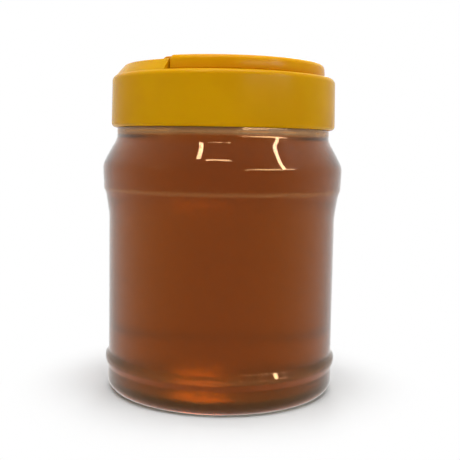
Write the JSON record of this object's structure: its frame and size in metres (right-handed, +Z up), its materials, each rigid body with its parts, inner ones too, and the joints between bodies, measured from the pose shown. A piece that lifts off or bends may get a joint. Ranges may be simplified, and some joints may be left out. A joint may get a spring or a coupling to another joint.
{
  "type": "honey jar",
  "caption": "Clear wide-mouth jar filled with amber honey, closed by a yellow screw lid whose carrying handle folds flat on top.",
  "frame": {"origin": "centre of the base, on the surface that the jar stands on", "axes": "+Z up the jar's axis; the hinge pins of the handle point along X, and the folded handle lies over the -Y half of the lid"},
  "size_m": [0.1242, 0.1242, 0.1689],
  "materials": {
    "clear_plastic": "gloss",
    "honey": "gloss",
    "yellow_plastic": "gloss"
  },
  "bodies": {
    "filled_jar": {"jar": "clear_plastic", "honey": "honey", "lid": "yellow_plastic"},
    "carry_handle": {"handle": "yellow_plastic"}
  },
  "joints": [
    {"name": "handle_fold", "type": "hinge", "parent": "filled_jar", "child": "carry_handle", "pos_m": [0, 0.0042, 0.1656], "axis": [-1, 0, 0], "range_deg": [0, 90]}
  ]
}
